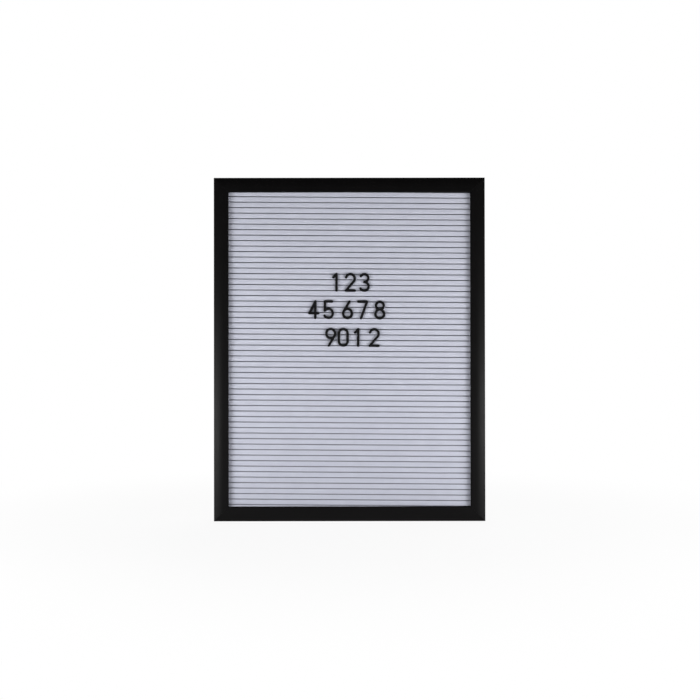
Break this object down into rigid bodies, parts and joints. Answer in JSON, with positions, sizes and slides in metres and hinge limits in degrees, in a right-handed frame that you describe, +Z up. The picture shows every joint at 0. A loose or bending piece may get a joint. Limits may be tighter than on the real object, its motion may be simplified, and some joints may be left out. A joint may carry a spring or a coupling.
{
  "type": "felt letter board",
  "caption": "Black mitred frame round a grooved, felt-faced panel with plain numbers pushed into its grooves, and a saw-tooth hanger behind.",
  "frame": {"origin": "the middle of the bottom edge, halfway through the whole depth, hanger included", "axes": "+Z up the board, +X to the right as seen from the front, +Y out of the back, so the ribbed face looks towards -Y"},
  "size_m": [0.3, 0.0204, 0.38],
  "materials": {
    "frame_lacquer": "satin black lacquer",
    "panel_felt": "matte felt, pale lilac grey",
    "character_plastic": "satin black",
    "hardboard": "raw, matte",
    "steel": "bright zinc plated"
  },
  "bodies": {
    "root": {"frame_rail_top": "frame_lacquer", "frame_rail_bottom": "frame_lacquer", "frame_rail_left": "frame_lacquer", "frame_rail_right": "frame_lacquer", "letter_panel": "panel_felt", "backing_board": "hardboard", "character_row_1_1": "character_plastic", "character_row_1_2": "character_plastic", "character_row_1_3": "character_plastic", "character_row_2_1": "character_plastic", "character_row_2_2": "character_plastic", "character_row_2_3": "character_plastic", "character_row_2_4": "character_plastic", "character_row_2_5": "character_plastic", "character_row_3_1": "character_plastic", "character_row_3_2": "character_plastic", "character_row_3_3": "character_plastic", "character_row_3_4": "character_plastic", "back_point_top_1": "steel", "back_point_top_2": "steel", "back_point_bottom_1": "steel", "back_point_bottom_2": "steel", "back_point_left_1": "steel", "back_point_left_2": "steel", "back_point_left_3": "steel", "back_point_right_1": "steel", "back_point_right_2": "steel", "back_point_right_3": "steel", "corner_nail_top_left": "steel", "corner_nail_top_right": "steel", "corner_nail_bottom_left": "steel", "corner_nail_bottom_right": "steel", "hanger": "steel", "hanger_nail_left": "steel", "hanger_nail_right": "steel"}
  },
  "joints": []
}
